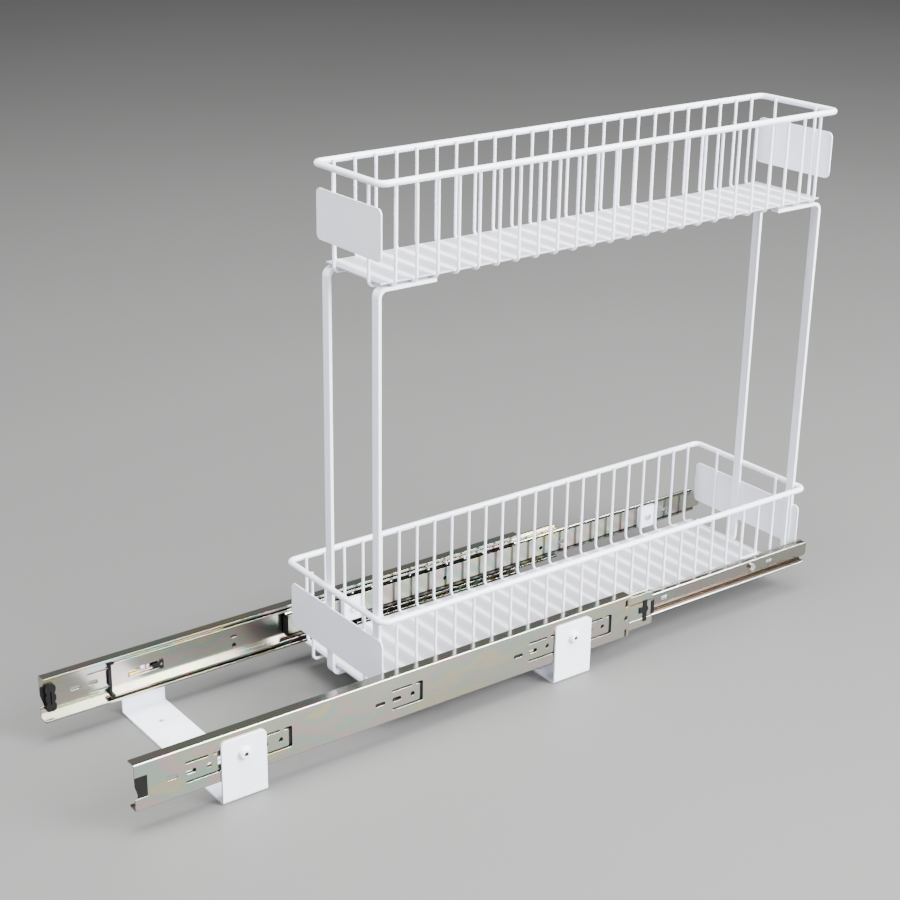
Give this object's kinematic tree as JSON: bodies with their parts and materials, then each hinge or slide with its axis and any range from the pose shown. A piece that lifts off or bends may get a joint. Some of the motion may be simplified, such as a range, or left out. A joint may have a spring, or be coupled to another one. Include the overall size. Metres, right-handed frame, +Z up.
{
  "type": "pull out cabinet basket",
  "caption": "Two tier white wire basket on full extension ball bearing slides, held to the cabinet floor by cross brackets with upturned flanges.",
  "frame": {"origin": "cabinet floor level, centre of the four floor screw holes of the cross brackets", "axes": "+X pull out direction, +Y far side, +Z up"},
  "size_m": [0.828, 0.202, 0.5286],
  "materials": {
    "white_coat": "gloss",
    "white_panel": "satin",
    "frosted_plastic": "frosted",
    "zinc_steel": "zinc plated",
    "bright_steel": "polished",
    "black_plastic": "satin",
    "rubber": "matt",
    "brass": "plain"
  },
  "bodies": {
    "frame": {"rear_cross_bracket": "white_coat", "front_cross_bracket": "white_coat", "bracket_bolts": "white_coat", "bracket_clinch_nuts": "zinc_steel", "near_outer_member": "zinc_steel", "far_outer_member": "zinc_steel", "near_rear_bumper": "rubber", "far_rear_bumper": "rubber"},
    "near_middle": {"near_middle_member": "zinc_steel", "near_end_piece": "black_plastic", "near_front_clip": "black_plastic", "near_catch_pin": "zinc_steel", "near_catch_spring": "bright_steel", "near_catch_strip": "brass"},
    "near_catch": {"near_catch_hook": "black_plastic"},
    "near_outer_cage": {"near_outer_cage": "zinc_steel", "near_outer_balls": "bright_steel"},
    "near_inner_cage": {"near_inner_cage": "zinc_steel", "near_inner_balls": "bright_steel"},
    "near_lever": {"near_release_lever": "black_plastic"},
    "far_middle": {"far_middle_member": "zinc_steel", "far_end_piece": "black_plastic", "far_front_clip": "black_plastic", "far_catch_pin": "zinc_steel", "far_catch_spring": "bright_steel", "far_catch_strip": "brass"},
    "far_catch": {"far_catch_hook": "black_plastic"},
    "far_outer_cage": {"far_outer_cage": "zinc_steel", "far_outer_balls": "bright_steel"},
    "far_inner_cage": {"far_inner_cage": "zinc_steel", "far_inner_balls": "bright_steel"},
    "far_lever": {"far_release_lever": "black_plastic"},
    "basket": {"far_inner_member": "zinc_steel", "far_mounting_tabs": "white_coat", "far_rear_plug": "black_plastic", "front_far_upright": "white_coat", "front_near_upright": "white_coat", "lever_pins": "zinc_steel", "lower_cross_wires": "white_coat", "lower_front_end_plate": "white_panel", "lower_liner": "frosted_plastic", "lower_long_wires": "white_coat", "lower_rear_end_plate": "white_panel", "lower_rim": "white_coat", "mounting_nuts": "bright_steel", "mounting_screws": "bright_steel", "near_inner_member": "zinc_steel", "near_mounting_tabs": "white_coat", "near_rear_plug": "black_plastic", "rear_far_upright": "white_coat", "rear_near_upright": "white_coat", "upper_cross_wires": "white_coat", "upper_front_end_plate": "white_panel", "upper_liner": "frosted_plastic", "upper_long_wires": "white_coat", "upper_rear_end_plate": "white_panel", "upper_rim": "white_coat"}
  },
  "joints": [
    {"name": "near_middle_slide", "type": "slide", "parent": "frame", "child": "near_middle", "axis": [1, 0, 0], "range_m": [-0.03, 0.2215]},
    {"name": "far_middle_slide", "type": "slide", "parent": "frame", "child": "far_middle", "axis": [1, 0, 0], "range_m": [-0.03, 0.2215]},
    {"name": "basket_slide", "type": "slide", "parent": "near_middle", "child": "basket", "axis": [1, 0, 0], "range_m": [-0.2302, 0.0766]},
    {"name": "near_outer_cage_roll", "type": "slide", "parent": "frame", "child": "near_outer_cage", "axis": [1, 0, 0], "range_m": [-0.015, 0.11075]},
    {"name": "far_outer_cage_roll", "type": "slide", "parent": "frame", "child": "far_outer_cage", "axis": [1, 0, 0], "range_m": [-0.015, 0.11075]},
    {"name": "near_inner_cage_roll", "type": "slide", "parent": "near_middle", "child": "near_inner_cage", "axis": [1, 0, 0], "range_m": [-0.1151, 0.0383]},
    {"name": "far_inner_cage_roll", "type": "slide", "parent": "far_middle", "child": "far_inner_cage", "axis": [1, 0, 0], "range_m": [-0.1151, 0.0383]},
    {"name": "near_release", "type": "hinge", "parent": "basket", "child": "near_lever", "pos_m": [0.0786, -0.0849, 0.0459], "axis": [0, 1, 0], "range_deg": [-4, 4], "stiffness_Nm_per_rad": 0.05},
    {"name": "near_catch_swing", "type": "hinge", "parent": "near_middle", "child": "near_catch", "pos_m": [-0.1919, -0.0908, 0.0437], "axis": [0, 1, 0], "range_deg": [-12, 12], "stiffness_Nm_per_rad": 0.02},
    {"name": "far_release", "type": "hinge", "parent": "basket", "child": "far_lever", "pos_m": [0.0786, 0.0849, 0.0459], "axis": [0, 1, 0], "range_deg": [-4, 4], "stiffness_Nm_per_rad": 0.05},
    {"name": "far_catch_swing", "type": "hinge", "parent": "far_middle", "child": "far_catch", "pos_m": [-0.1699, 0.0908, 0.0437], "axis": [0, 1, 0], "range_deg": [-12, 12], "stiffness_Nm_per_rad": 0.02}
  ],
  "couplings": [
    {"joint": "far_middle_slide", "follows": "near_middle_slide", "ratio": 1},
    {"joint": "near_outer_cage_roll", "follows": "near_middle_slide", "ratio": 0.5},
    {"joint": "far_outer_cage_roll", "follows": "near_middle_slide", "ratio": 0.5},
    {"joint": "near_inner_cage_roll", "follows": "basket_slide", "ratio": 0.5},
    {"joint": "far_inner_cage_roll", "follows": "basket_slide", "ratio": 0.5}
  ]
}
